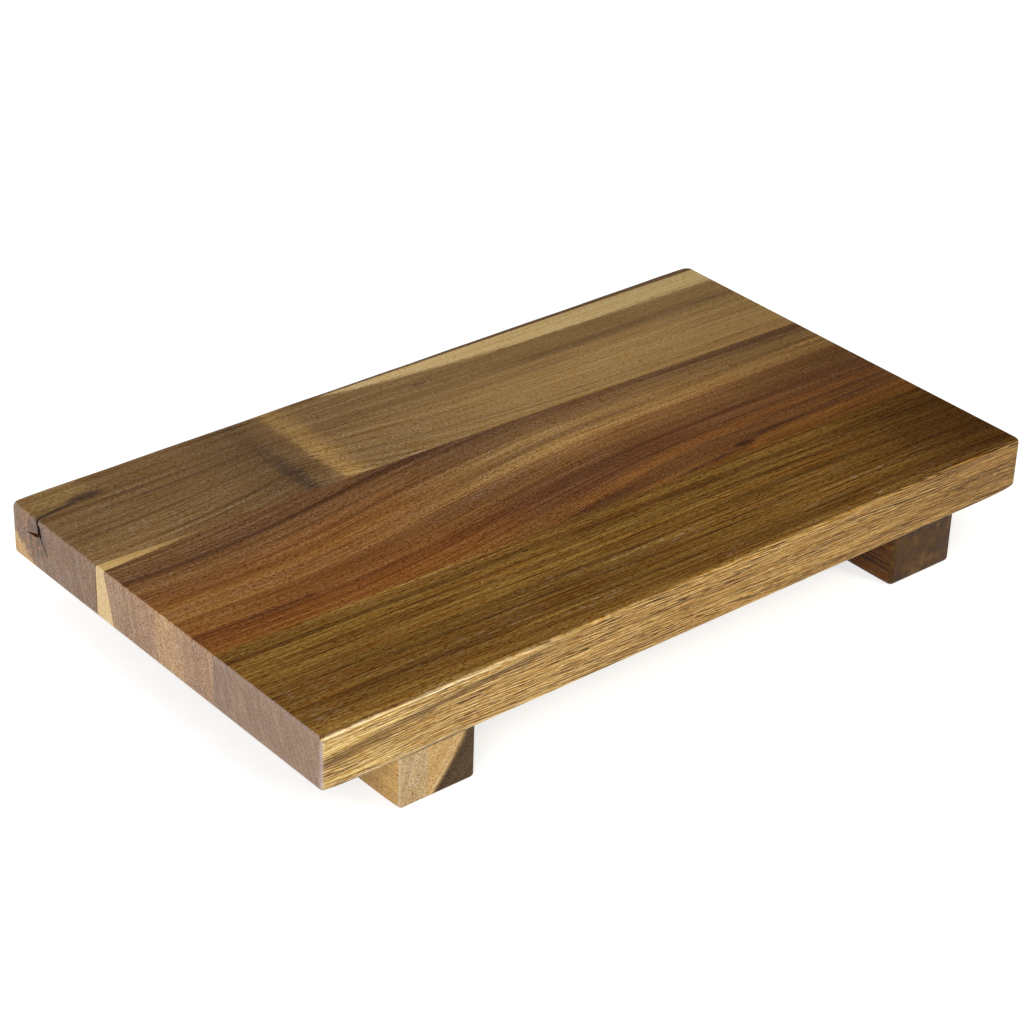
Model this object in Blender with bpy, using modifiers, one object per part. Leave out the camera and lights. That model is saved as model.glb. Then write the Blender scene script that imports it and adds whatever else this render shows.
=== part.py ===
"""Wooden riser: an edge-glued board on two feet, held together by hidden dowels.

Three staves are glued edge to edge, trimmed to one board and rounded over. Two feet run from front to
back under it. Each foot is glued up from two strips, and blind fluted dowels pin it to every stave.

Units are metres. +X runs along the board, +Y to its back and +Z up. The origin lies on the table, under
the middle of the board.
"""

import math

import bmesh
import bpy
from mathutils import Matrix

# Board: the staves' widths are taken halfway along, and the seams drift because the blank was trimmed askew
BOARD_LENGTH = 0.300
BOARD_THICKNESS = 0.0195
BACK_STAVE_WIDTH = 0.0557
MIDDLE_STAVE_WIDTH = 0.0640
FRONT_STAVE_WIDTH = 0.0513
BACK_SEAM_DRIFT = 0.0096
FRONT_SEAM_DRIFT = 0.0070

# Board edges: the upper ones are only broken, the lower ones and the back's corners are sanded rounder
TOP_EDGE_RADIUS = 0.0007
BOTTOM_EDGE_RADIUS = 0.0018
FRONT_CORNER_RADIUS = 0.0009
BACK_CORNER_RADIUS = 0.0028

# Feet: the outer strip is the one nearer to the board's end
FOOT_WIDTH = 0.0290
FOOT_HEIGHT = 0.0195
FOOT_INSET = 0.0296
FOOT_SETBACK = 0.0010
FOOT_EDGE_RADIUS = 0.0012
LEFT_OUTER_STRIP_WIDTH = 0.0107
RIGHT_OUTER_STRIP_WIDTH = 0.0072

# Dowels: the cover is the wood left between a blind hole and the nearest face
DOWEL_DIAMETER = 0.0080
DOWEL_CHAMFER = 0.0010
DOWEL_FLUTES = 18
FLUTE_DEPTH = 0.0003
HOLE_COVER_IN_BOARD = 0.0070
HOLE_COVER_IN_FOOT = 0.0070

# Fits
GLUE_GAP = 0.0003
DOWEL_SIDE_CLEARANCE = 0.0003
DOWEL_END_CLEARANCE = 0.0003

# Fineness of the rounded edges and holes, and how far a cutter stands out of what it cuts
EDGE_SEGMENTS = 5
HOLE_SIDES = 48
CUT_MARGIN = 0.0100
SMOOTH_ANGLE = math.radians(40.0)

# Sizes that follow
BOARD_WIDTH = BACK_STAVE_WIDTH + MIDDLE_STAVE_WIDTH + FRONT_STAVE_WIDTH
BOARD_UNDERSIDE = FOOT_HEIGHT + GLUE_GAP
BOARD_TOP = BOARD_UNDERSIDE + BOARD_THICKNESS
LEAST_CORNER_RADIUS = TOP_EDGE_RADIUS / 10
FOOT_LENGTH = BOARD_WIDTH - 2 * FOOT_SETBACK
HOLE_RADIUS = DOWEL_DIAMETER / 2 + DOWEL_SIDE_CLEARANCE
HOLE_BOTTOM = HOLE_COVER_IN_FOOT
HOLE_TOP = BOARD_TOP - HOLE_COVER_IN_BOARD
DOWEL_LENGTH = HOLE_TOP - HOLE_BOTTOM - 2 * DOWEL_END_CLEARANCE


def clear_scene():
    for obj in list(bpy.data.objects):
        bpy.data.objects.remove(obj, do_unlink=True)
    for collection in list(bpy.data.collections):
        bpy.data.collections.remove(collection)


def new_collection(name):
    collection = bpy.data.collections.new(name)
    bpy.context.scene.collection.children.link(collection)
    return collection


def wood(name, colour, roughness):
    """An oiled wood: one plain colour, not metallic."""
    material = bpy.data.materials.new(name)
    material.use_nodes = True
    shader = material.node_tree.nodes["Principled BSDF"]
    shader.inputs["Base Color"].default_value = (*colour, 1.0)
    shader.inputs["Roughness"].default_value = roughness
    shader.inputs["Metallic"].default_value = 0.0
    return material


def add_part(mesh, name, material, parts, origin):
    """Puts a mesh in the scene as a named piece of the riser, smooth across its rounded edges."""
    mesh.name = name
    mesh.materials.append(material)
    mesh.shade_smooth()
    obj = bpy.data.objects.new(name, mesh)
    parts.objects.link(obj)
    obj.parent = origin
    return obj


def add_cutter(mesh, name, cutters):
    obj = bpy.data.objects.new(name, mesh)
    cutters.objects.link(obj)
    obj.hide_render = True
    obj.display_type = "WIRE"
    return obj


def cut(obj, cutter, operation):
    modifier = obj.modifiers.new(f"{operation.lower()}_{cutter.name}", "BOOLEAN")
    modifier.operation = operation
    modifier.solver = "EXACT"
    modifier.object = cutter


def round_edges(obj, radius):
    """Rounds the weighted edges of a blank."""
    modifier = obj.modifiers.new("rounded_edges", "BEVEL")
    modifier.width = radius
    modifier.segments = EDGE_SEGMENTS
    modifier.limit_method = "WEIGHT"


def blank_mesh(size):
    """A sawn box standing on the table, with all the edges below its top face weighted for rounding."""
    mesh = bpy.data.meshes.new("blank")
    bm = bmesh.new()
    bmesh.ops.create_cube(bm, size=1.0, matrix=Matrix.Diagonal((*size, 1.0)))
    bmesh.ops.translate(bm, verts=bm.verts, vec=(0.0, 0.0, size[2] / 2))
    weight = bm.edges.layers.float.new("bevel_weight_edge")
    for edge in bm.edges:
        edge[weight] = 0.0 if min(vert.co.z for vert in edge.verts) > size[2] / 2 else 1.0
    bm.to_mesh(mesh)
    bm.free()
    return mesh


def board_outline(inset):
    """The board seen from above, drawn in by inset: a rectangle with rounded corners."""
    outline = []
    for quarter, (x_side, y_side) in enumerate(((1, 1), (-1, 1), (-1, -1), (1, -1))):
        corner = BACK_CORNER_RADIUS if y_side > 0 else FRONT_CORNER_RADIUS
        radius = max(corner - inset, LEAST_CORNER_RADIUS)
        x = x_side * (BOARD_LENGTH / 2 - inset - radius)
        y = y_side * (BOARD_WIDTH / 2 - inset - radius)
        for step in range(EDGE_SEGMENTS + 1):
            angle = (quarter + step / EDGE_SEGMENTS) * math.pi / 2
            outline.append((x + radius * math.cos(angle), y + radius * math.sin(angle)))
    return outline


def board_mesh():
    """The whole board as outlines one above the other, each drawn in where an edge is rounded."""
    levels = []
    for step in range(EDGE_SEGMENTS + 1):
        angle = step / EDGE_SEGMENTS * math.pi / 2
        level = BOARD_UNDERSIDE + BOTTOM_EDGE_RADIUS * (1 - math.cos(angle))
        levels.append((level, BOTTOM_EDGE_RADIUS * (1 - math.sin(angle))))
    for step in range(EDGE_SEGMENTS + 1):
        angle = step / EDGE_SEGMENTS * math.pi / 2
        level = BOARD_TOP - TOP_EDGE_RADIUS * (1 - math.sin(angle))
        levels.append((level, TOP_EDGE_RADIUS * (1 - math.cos(angle))))
    mesh = bpy.data.meshes.new("board")
    bm = bmesh.new()
    rings = [[bm.verts.new((x, y, z)) for x, y in board_outline(inset)] for z, inset in levels]
    bm.faces.new(reversed(rings[0]))
    for below, above in zip(rings, rings[1:]):
        for i in range(len(below)):
            j = (i + 1) % len(below)
            bm.faces.new((below[i], below[j], above[j], above[i]))
    bm.faces.new(rings[-1])
    bm.to_mesh(mesh)
    bm.free()
    return mesh


def lane_mesh(corner, low, high):
    """A four-sided prism from low to high: corner(x_side, y_side) gives the place of each upright edge."""
    mesh = bpy.data.meshes.new("lane")
    bm = bmesh.new()
    bmesh.ops.create_cube(bm, size=2.0)
    for vert in bm.verts:
        x, y = corner(vert.co.x, vert.co.y)
        vert.co = (x, y, high if vert.co.z > 0 else low)
    bm.to_mesh(mesh)
    bm.free()
    return mesh


def hole_mesh():
    """A straight blind hole that runs from the foot up into the board."""
    mesh = bpy.data.meshes.new("hole")
    bm = bmesh.new()
    depth = HOLE_TOP - HOLE_BOTTOM
    bmesh.ops.create_cone(
        bm, cap_ends=True, segments=HOLE_SIDES, radius1=HOLE_RADIUS, radius2=HOLE_RADIUS, depth=depth
    )
    bm.to_mesh(mesh)
    bm.free()
    return mesh


def dowel_mesh():
    """A fluted pin with chamfered ends: every second upright edge of a cylinder is drawn in as a flute."""
    mesh = bpy.data.meshes.new("dowel")
    bm = bmesh.new()
    radius = DOWEL_DIAMETER / 2
    sides = 2 * DOWEL_FLUTES
    straight = DOWEL_LENGTH - 2 * DOWEL_CHAMFER
    bmesh.ops.create_cone(bm, cap_ends=True, segments=sides, radius1=radius, radius2=radius, depth=straight)
    for vert in bm.verts:
        step = round(math.atan2(vert.co.y, vert.co.x) / math.tau * sides)
        if step % 2:
            vert.co.xy *= (radius - FLUTE_DEPTH) / radius
    ends = [face for face in bm.faces if len(face.verts) == sides]
    bmesh.ops.inset_individual(
        bm, faces=ends, thickness=DOWEL_CHAMFER, depth=DOWEL_CHAMFER, use_even_offset=True
    )
    bm.to_mesh(mesh)
    bm.free()
    return mesh


class Seam:
    """A straight glue line along the board: y halfway along it, and its drift to the front from end to end."""

    def __init__(self, middle, drift):
        self.middle = middle
        self.drift = drift

    def at(self, x):
        return self.middle - self.drift * x / BOARD_LENGTH


BACK_EDGE = Seam(BOARD_WIDTH / 2, 0.0)
BACK_SEAM = Seam(BOARD_WIDTH / 2 - BACK_STAVE_WIDTH, BACK_SEAM_DRIFT)
FRONT_SEAM = Seam(FRONT_STAVE_WIDTH - BOARD_WIDTH / 2, FRONT_SEAM_DRIFT)
FRONT_EDGE = Seam(-BOARD_WIDTH / 2, 0.0)

# Each stave lies between two lines across the board
STAVES = {
    "back": (BACK_EDGE, BACK_SEAM),
    "middle": (BACK_SEAM, FRONT_SEAM),
    "front": (FRONT_SEAM, FRONT_EDGE),
}


class Foot:
    """Where a foot and its two strips lie along the board. side is -1 for the left foot and 1 for the right."""

    def __init__(self, side, outer_strip_width):
        self.outer = side * (BOARD_LENGTH / 2 - FOOT_INSET)
        self.inner = self.outer - side * FOOT_WIDTH
        self.seam = self.outer - side * outer_strip_width
        self.strips = {"outer": (self.outer, self.seam), "inner": (self.seam, self.inner)}
        self.wider = max(self.strips, key=lambda strip: abs(self.strips[strip][0] - self.strips[strip][1]))

    @property
    def centre(self):
        return (self.outer + self.inner) / 2

    @property
    def dowel_x(self):
        """The dowels stand in the middle of the wider strip, clear of the foot's own seam."""
        return sum(self.strips[self.wider]) / 2


FEET = {
    "left": Foot(-1, LEFT_OUTER_STRIP_WIDTH),
    "right": Foot(1, RIGHT_OUTER_STRIP_WIDTH),
}


def dowel_place(foot, stave):
    """The middle of a stave's width, above the middle of a foot's wider strip."""
    back, front = STAVES[stave]
    return foot.dowel_x, (back.at(foot.dowel_x) + front.at(foot.dowel_x)) / 2


def stave_corner(back, front):
    """Corners of a stave's lane: at a seam half the glue gap is left, past an outer edge the lane stands out."""

    def corner(x_side, y_side):
        x = x_side * (BOARD_LENGTH / 2 + CUT_MARGIN)
        line = back if y_side > 0 else front
        if line in (BACK_EDGE, FRONT_EDGE):
            return x, line.at(x) + y_side * CUT_MARGIN
        return x, line.at(x) - y_side * GLUE_GAP / 2

    return corner


def strip_corner(foot, ends):
    """Corners of a strip's lane, made in the same way along the board."""
    low, high = min(ends), max(ends)

    def corner(x_side, y_side):
        x = high if x_side > 0 else low
        x += x_side * (-GLUE_GAP / 2 if x == foot.seam else CUT_MARGIN)
        return x, y_side * (FOOT_LENGTH / 2 + CUT_MARGIN)

    return corner


def make_holes(cutters):
    """One drilled hole for each dowel, keyed by foot and stave."""
    mesh = hole_mesh()
    holes = {}
    for foot_name, foot in FEET.items():
        for stave in STAVES:
            hole = add_cutter(mesh, f"hole_{foot_name}_{stave}", cutters)
            hole.location = (*dowel_place(foot, stave), (HOLE_TOP + HOLE_BOTTOM) / 2)
            holes[foot_name, stave] = hole
    return holes


def make_staves(parts, cutters, origin, holes):
    """Each stave is the rounded board cut down to its own lane, and drilled from below over both feet."""
    colours = {
        "back": (0.180, 0.112, 0.050),
        "middle": (0.175, 0.083, 0.034),
        "front": (0.165, 0.103, 0.036),
    }
    for name, (back, front) in STAVES.items():
        material = wood(f"stave_{name}_wood", colours[name], 0.45)
        stave = add_part(board_mesh(), f"stave_{name}", material, parts, origin)
        low, high = BOARD_UNDERSIDE - CUT_MARGIN, BOARD_TOP + CUT_MARGIN
        lane = add_cutter(lane_mesh(stave_corner(back, front), low, high), f"lane_{name}", cutters)
        cut(stave, lane, "INTERSECT")
        for foot_name in FEET:
            cut(stave, holes[foot_name, name], "DIFFERENCE")


def make_feet(parts, cutters, origin, holes):
    """Each strip is the foot's blank, rounded but for its glued top, cut down to its own lane."""
    colours = {
        ("left", "outer"): (0.420, 0.275, 0.120),
        ("left", "inner"): (0.330, 0.195, 0.080),
        ("right", "inner"): (0.085, 0.053, 0.028),
        ("right", "outer"): (0.090, 0.052, 0.032),
    }
    for foot_name, foot in FEET.items():
        for strip, ends in foot.strips.items():
            name = f"foot_{foot_name}_{strip}"
            material = wood(f"{name}_wood", colours[foot_name, strip], 0.5)
            mesh = blank_mesh((FOOT_WIDTH, FOOT_LENGTH, FOOT_HEIGHT))
            piece = add_part(mesh, name, material, parts, origin)
            piece.location.x = foot.centre
            round_edges(piece, FOOT_EDGE_RADIUS)
            lane = add_cutter(
                lane_mesh(strip_corner(foot, ends), -CUT_MARGIN, FOOT_HEIGHT + CUT_MARGIN),
                f"lane_{foot_name}_{strip}",
                cutters,
            )
            cut(piece, lane, "INTERSECT")
            if strip == foot.wider:
                for stave in STAVES:
                    cut(piece, holes[foot_name, stave], "DIFFERENCE")


def make_dowels(parts, origin):
    """One pin in each hole, its middle at the hole's middle."""
    material = wood("dowel_wood", (0.560, 0.400, 0.230), 0.6)
    for foot_name, foot in FEET.items():
        for stave in STAVES:
            dowel = add_part(dowel_mesh(), f"dowel_{foot_name}_{stave}", material, parts, origin)
            dowel.data.set_sharp_from_angle(angle=SMOOTH_ANGLE)
            dowel.location = (*dowel_place(foot, stave), (HOLE_TOP + HOLE_BOTTOM) / 2)


def main():
    clear_scene()
    parts = new_collection("wooden_riser")
    cutters = new_collection("cutters")
    cutters.hide_render = True
    origin = bpy.data.objects.new("riser_origin", None)
    parts.objects.link(origin)
    holes = make_holes(cutters)
    make_staves(parts, cutters, origin, holes)
    make_feet(parts, cutters, origin, holes)
    make_dowels(parts, origin)


main()
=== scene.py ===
# %% [markdown]
# A wooden riser, dressed for its picture. The riser is a low serving stand: one board glued up from three
# staves of oiled hardwood, on two feet that are each glued up from two strips. This lesson loads the
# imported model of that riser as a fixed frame, makes a finely rounded piece of wood for every stave and
# strip of it, and grows the figure of each piece of wood from noise and a few formulas.

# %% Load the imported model
import math

import bmesh
import bpy
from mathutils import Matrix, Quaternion, Vector, noise


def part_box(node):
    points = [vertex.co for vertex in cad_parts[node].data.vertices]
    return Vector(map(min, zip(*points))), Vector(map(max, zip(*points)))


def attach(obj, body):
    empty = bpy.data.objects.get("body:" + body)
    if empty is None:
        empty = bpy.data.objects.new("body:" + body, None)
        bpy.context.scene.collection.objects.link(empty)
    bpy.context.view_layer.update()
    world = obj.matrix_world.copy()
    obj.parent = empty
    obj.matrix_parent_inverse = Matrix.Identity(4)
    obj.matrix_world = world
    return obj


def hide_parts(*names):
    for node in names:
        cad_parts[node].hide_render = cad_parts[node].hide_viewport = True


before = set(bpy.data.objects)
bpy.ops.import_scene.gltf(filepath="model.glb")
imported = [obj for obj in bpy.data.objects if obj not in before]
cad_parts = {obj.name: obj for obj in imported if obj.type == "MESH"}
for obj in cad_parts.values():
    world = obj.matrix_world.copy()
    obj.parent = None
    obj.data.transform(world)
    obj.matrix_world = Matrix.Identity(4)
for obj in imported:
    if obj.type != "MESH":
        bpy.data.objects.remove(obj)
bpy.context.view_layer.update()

# %% [markdown]
# The camera comes first, because everything else is judged through it. The picture was taken with a long
# lens from the front left, a little above the board. A camera can be placed by trial, but it is steadier
# to give the point it looks at, the distance, the two angles and the small tilt of the horizon, because
# each of these can then be corrected by itself.

# %% Camera
scene = bpy.context.scene
scene.view_settings.view_transform = "Standard"
LOOK_AT = Vector((-0.0233, -0.0188, 0.0393))
LOOK_DISTANCE = 0.9531
LOOK_AZIMUTH = math.radians(40.67)
LOOK_ELEVATION = math.radians(30.38)
LOOK_TILT = math.radians(1.985)
towards_camera = Vector((
    -math.sin(LOOK_AZIMUTH) * math.cos(LOOK_ELEVATION),
    -math.cos(LOOK_AZIMUTH) * math.cos(LOOK_ELEVATION),
    math.sin(LOOK_ELEVATION),
))
camera_data = bpy.data.cameras.new("photo_camera")
camera_data.sensor_width = 36.0
camera_data.lens = 102.3
camera = bpy.data.objects.new("photo_camera", camera_data)
scene.collection.objects.link(camera)
camera.location = LOOK_AT + towards_camera * LOOK_DISTANCE
camera.rotation_mode = "QUATERNION"
camera.rotation_quaternion = towards_camera.to_track_quat("Z", "Y") @ Quaternion((0, 0, 1), LOOK_TILT)
scene.camera = camera
print("camera at", tuple(round(c, 4) for c in camera.location))

# %% [markdown]
# The room is a white sweep. Its world is pale at the horizon, dark on the wall above and bright on the
# ceiling. A plain grey world would be simpler, but a polished top seen from the front mirrors the upper
# part of the room. So a dark wall keeps the wood's colour deep, and the ceiling lights the top from
# straight above.

# %% World
CEILING = 1.15
LEVELS_BY_HEIGHT = ((0.0, 0.30), (0.05, 0.25), (0.15, 0.02), (0.70, 0.02), (0.90, 1.0), (1.0, 1.0))


def new_node(tree, kind, **settings):
    """A shader node of that kind with those settings."""
    made = tree.nodes.new("ShaderNode" + kind)
    for key, value in settings.items():
        setattr(made, key, value)
    return made


def light_the_room():
    """A world with a pale horizon, a dark wall above it and a soft bright ceiling."""
    world = bpy.data.worlds.new("studio")
    world.use_nodes = True
    scene.world = world
    tree = world.node_tree
    shine = tree.nodes["Background"]
    shine.inputs["Color"].default_value = (1.0, 1.0, 1.0, 1.0)
    place = new_node(tree, "TexCoord")
    split = new_node(tree, "SeparateXYZ")
    heights = new_node(tree, "FloatCurve")
    points = heights.mapping.curves[0].points
    while len(points) < len(LEVELS_BY_HEIGHT):
        points.new(0.5, 0.5)
    for point, level in zip(points, LEVELS_BY_HEIGHT):
        point.location = level
        point.handle_type = "VECTOR"
    heights.mapping.update()
    brighter = new_node(tree, "Math", operation="MULTIPLY")
    brighter.inputs[1].default_value = CEILING
    tree.links.new(place.outputs["Generated"], split.inputs[0])
    tree.links.new(split.outputs["Z"], heights.inputs["Value"])
    tree.links.new(heights.outputs[0], brighter.inputs[0])
    tree.links.new(brighter.outputs[0], shine.inputs["Strength"])


light_the_room()
print("world lit, ceiling at", CEILING)

# %% [markdown]
# Three softboxes light the riser. The large one at the left makes the left end and the front edge bright.
# A weak one behind keeps the back from going black. A narrow warm one at the right fills the front edge
# and the fronts of the feet. Point lamps would be simpler, but a shadow is only as soft as its lamp is
# large.

# %% Lamps
def soft_lamp(name, position, aim, width, height, watts):
    """A softbox of that size that faces a point."""
    data = bpy.data.lights.new(name, "AREA")
    data.shape = "RECTANGLE"
    data.size = width
    data.size_y = height
    data.energy = watts
    lamp = bpy.data.objects.new(name, data)
    scene.collection.objects.link(lamp)
    lamp.location = position
    direction = Vector(position) - Vector(aim)
    lamp.rotation_mode = "QUATERNION"
    lamp.rotation_quaternion = direction.to_track_quat("Z", "Y")
    print("lamp", name, watts, "W")
    return lamp


soft_lamp("left_softbox", (-1.25, -0.85, 0.72), (-0.05, 0.0, 0.02), 0.80, 0.80, 20.0)
soft_lamp("back_softbox", (-0.35, 1.35, 0.60), (0.0, 0.0, 0.02), 0.80, 0.50, 5.0)
glance = soft_lamp("right_softbox", (0.37, -0.84, 0.47), (0.0, 0.0, 0.02), 0.24, 0.70, 6.4)
glance.data.color = (1.0, 0.93, 0.70)

# %% [markdown]
# The floor's finish has two sides. To the light it is a matt white card. To the camera, and to anything
# that mirrors it, it glows a little too. A brighter lamp would also make the floor white, but it would
# bleach the wood. This way the floor comes out white, and the soft shadow of the riser still lies on it.

# %% White finish of the floor
LIT_CARD = (0.80, 0.80, 0.80, 1.0)
SHOWN_CARD = (0.50, 0.50, 0.50, 1.0)
FLOOR_GLOW = 0.70


def white_sweep():
    """A matt white that glows for the camera and in mirrors."""
    material = bpy.data.materials.new("white_sweep")
    material.use_nodes = True
    tree = material.node_tree
    tree.nodes.clear()
    out = new_node(tree, "OutputMaterial")
    seen = new_node(tree, "MixShader")
    sum_up = new_node(tree, "AddShader")
    card = new_node(tree, "BsdfDiffuse")
    card.inputs["Color"].default_value = LIT_CARD
    shown_card = new_node(tree, "BsdfDiffuse")
    shown_card.inputs["Color"].default_value = SHOWN_CARD
    glow = new_node(tree, "Emission")
    glow.inputs["Strength"].default_value = FLOOR_GLOW
    path = new_node(tree, "LightPath")
    either = new_node(tree, "Math", operation="MAXIMUM")
    any_of = new_node(tree, "Math", operation="MAXIMUM")
    tree.links.new(path.outputs["Is Camera Ray"], either.inputs[0])
    tree.links.new(path.outputs["Is Glossy Ray"], either.inputs[1])
    tree.links.new(either.outputs[0], any_of.inputs[0])
    tree.links.new(path.outputs["Is Transmission Ray"], any_of.inputs[1])
    tree.links.new(any_of.outputs[0], seen.inputs["Fac"])
    tree.links.new(card.outputs[0], seen.inputs[1])
    tree.links.new(shown_card.outputs[0], sum_up.inputs[0])
    tree.links.new(glow.outputs[0], sum_up.inputs[1])
    tree.links.new(sum_up.outputs[0], seen.inputs[2])
    tree.links.new(seen.outputs[0], out.inputs["Surface"])
    return material


floor_finish = white_sweep()
print("floor finish has", len(floor_finish.node_tree.nodes), "nodes")

# %% [markdown]
# The floor itself is a wide round sheet, so that no edge of it shows from any side. It lies a hair below
# the feet, because two faces in the same place flicker. A bmesh is a mesh in the making: corners and
# faces are added to it one by one, and then it becomes an object.

# %% Floor
FLOOR_DROP = 0.00005


def new_object(name, shape):
    """An object made of a bmesh, in the scene."""
    data = bpy.data.meshes.new(name)
    shape.to_mesh(data)
    shape.free()
    made = bpy.data.objects.new(name, data)
    scene.collection.objects.link(made)
    return made


def lay_floor(radius=12.0, sides=96):
    """A round white floor at z 0."""
    sheet = bmesh.new()
    ring = []
    for i in range(sides):
        turn = 2 * math.pi * i / sides
        ring.append(sheet.verts.new((radius * math.cos(turn), radius * math.sin(turn), -FLOOR_DROP)))
    sheet.faces.new(ring)
    floor = new_object("floor", sheet)
    floor.data.materials.append(floor_finish)
    print("floor laid,", radius, "m to every side")


lay_floor()

# %% [markdown]
# Every stave and strip is a planed bar: a long square section whose free edges are rounded over and whose
# glued edges stay square. A cube with a bevel would do for a straight bar, but the staves are skewed by
# their slanting seams, and a hand-held router never leaves a round-over quite even. So the bar is lofted:
# its section is drawn again at each station along its length. Towards an end the free sides draw in along
# a quarter circle, which rounds the end's edges too.

# %% Stations along a bar
END_STEPS = 14
STATION_SPACING = 0.003


def drawn_in(distance, radius):
    """How far a side draws in at that distance from an end whose edge is rounded with that radius."""
    if distance >= radius:
        return 0.0
    return radius - math.sqrt(radius ** 2 - (radius - distance) ** 2)


def stations(start, stop, reach):
    """Places along a bar, close together over its rounded ends, each with its distance from the end."""
    end_steps = []
    for i in range(END_STEPS + 1):
        turn = math.radians(2.0 + 88.0 * i / END_STEPS)
        end_steps.append(reach * (1 - math.cos(turn)))
    room = stop - start - 2 * reach
    count = round(room / STATION_SPACING)
    places = [(start + step, step) for step in end_steps]
    places += [(start + reach + room * i / count, reach) for i in range(1, count)]
    places += [(stop - step, step) for step in reversed(end_steps)]
    return places


print("a bar of 300 mm has", len(stations(0.0, 0.300, 0.002)), "stations")

# %% [markdown]
# The section of a bar is one closed line: four corners, each square or a quarter circle, and four flats.
# Smooth shading would make a long flat look swollen beside a round-over. So every flat has one more point
# close to each of its corners, which holds it flat, as a support loop does in modelling by hand.

# %% Section of a bar
ARC_STEPS = 7
SUPPORT = 0.0004
SMALLEST_BEND = 0.00004


def flat_points(first, last, pieces):
    """Points between two corners, with one close to each corner so that the flat shades flat."""
    length = (last - first).length
    steps = [SUPPORT / length]
    steps += [i / pieces for i in range(1, pieces)]
    steps.append(1 - SUPPORT / length)
    return [first.lerp(last, t) for t in steps]


def section(sides, radii, distance, bends, pieces):
    """The outline of a bar at one station. A side that radii doesn't name is glued and stays square."""
    inset = {}
    for name in sides:
        inset[name] = drawn_in(distance, radii[name]) if name in radii else 0.0
    low = sides["low"] + inset["low"]
    high = sides["high"] - inset["high"]
    bottom = sides["bottom"] + inset["bottom"]
    top = sides["top"] - inset["top"]
    corners = (
        ("low", "bottom", Vector((low, bottom)), Vector((1, 1)), 180.0),
        ("high", "bottom", Vector((high, bottom)), Vector((-1, 1)), 270.0),
        ("high", "top", Vector((high, top)), Vector((-1, -1)), 0.0),
        ("low", "top", Vector((low, top)), Vector((1, -1)), 90.0),
    )
    arcs = []
    for side, face, corner, inward, first_angle in corners:
        if side not in radii or face not in radii:
            arcs.append([corner])
            continue
        bend = max(bends[face] * (1.0 - inset[face] / radii[face]), SMALLEST_BEND)
        centre = corner + inward * bend
        arc = []
        for i in range(ARC_STEPS + 1):
            angle = math.radians(first_angle + 90.0 * i / ARC_STEPS)
            arc.append(centre + Vector((math.cos(angle), math.sin(angle))) * bend)
        arcs.append(arc)
    outline = []
    for i, arc in enumerate(arcs):
        outline += arc
        outline += flat_points(arc[-1], arcs[(i + 1) % 4][0], pieces[i % 2])
    return outline


print("a round-over is drawn with", ARC_STEPS, "steps")

# %% [markdown]
# Now the bar. Its round-overs waver a little along their length, and towards its corners they grow
# rounder, because corners are knocked and handled most. Faces from each section to the next make the
# skin, and two more close the ends. A closed skin matters later, when holes are carved into it.

# %% Planed bars
KNOCKED = 0.0024
KNOCK_REACH = 0.004
UNEVEN = 0.15
WAVERS = 40.0


def skin(shape, rings):
    """Lays faces from ring to ring and closes the first and the last ring."""
    for ring, following in zip(rings, rings[1:]):
        for i, corner in enumerate(ring):
            j = (i + 1) % len(ring)
            shape.faces.new((corner, ring[j], following[j], following[i]))
    shape.faces.new(list(reversed(rings[0])))
    shape.faces.new(rings[-1])


def closed_object(name, shape):
    """An object made of a closed bmesh, with its faces turned outwards."""
    bmesh.ops.recalc_face_normals(shape, faces=shape.faces)
    return new_object(name, shape)


def uneven_bends(bends, place, span, seed):
    """The radius of each long edge at one station, from its radii at the first and the last end."""
    waver = 1.0 + UNEVEN * noise.noise(Vector((place * WAVERS, 2.0, seed)))
    share = (place - span[0]) / (span[1] - span[0])
    knock = math.exp(-min(place - span[0], span[1] - place) / KNOCK_REACH)
    bent = {}
    for face, (first, last) in bends.items():
        bend = (first + (last - first) * share) * waver
        bent[face] = bend + max(KNOCKED - bend, 0.0) * knock
    return bent


def planed_bar(name, along, span, sides_at, radii, bends, pieces):
    """A bar along X or Y over a span. radii rounds the edges of its ends, and bends its long edges."""
    bar = bmesh.new()
    rings = []
    for place, distance in stations(span[0], span[1], max(radii.values())):
        bent = uneven_bends(bends, place, span, len(name) * 1.7)
        ring = []
        for across, up in section(sides_at(place), radii, distance, bent, pieces):
            point = (place, across, up) if along == "X" else (across, place, up)
            ring.append(bar.verts.new(point))
        rings.append(ring)
    skin(bar, rings)
    piece = closed_object(name, bar)
    print("planed", name, len(piece.data.polygons), "faces")
    return piece


print("corners are knocked to", KNOCKED * 1000, "mm")

# %% [markdown]
# The board is three staves. The two glue seams slant a little across it, because the blank was trimmed
# askew after it was glued. Each stave reaches to within a hundredth of a millimetre of the seam, so the
# joint shows as the hairline that a good glue joint is. A line painted on one board would be quicker, but
# the joint also has to show on the ends and below.

# %% Staves
BOARD_LOW = Vector(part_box("stave_front")[0])
BOARD_HIGH = Vector(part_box("stave_back")[1])
HAIRLINE = 0.00001
BACK_SEAM_MIDDLE = 0.0298
BACK_SEAM_SLOPE = 0.0320
FRONT_SEAM_MIDDLE = -0.0342
FRONT_SEAM_SLOPE = 0.02333
END_ROUNDS = {"bottom": 0.0020, "top": 0.0008}
LONG_BEND = (0.0006, 0.0006)


def back_edge(x):
    """The back edge of the board."""
    return BOARD_HIGH.y


def back_seam(x):
    """Where the seam between back and middle stave lies across the board."""
    return BACK_SEAM_MIDDLE - BACK_SEAM_SLOPE * x


def front_seam(x):
    """Where the seam between middle and front stave lies."""
    return FRONT_SEAM_MIDDLE - FRONT_SEAM_SLOPE * x


def front_edge(x):
    """The front edge of the board."""
    return BOARD_LOW.y


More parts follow.
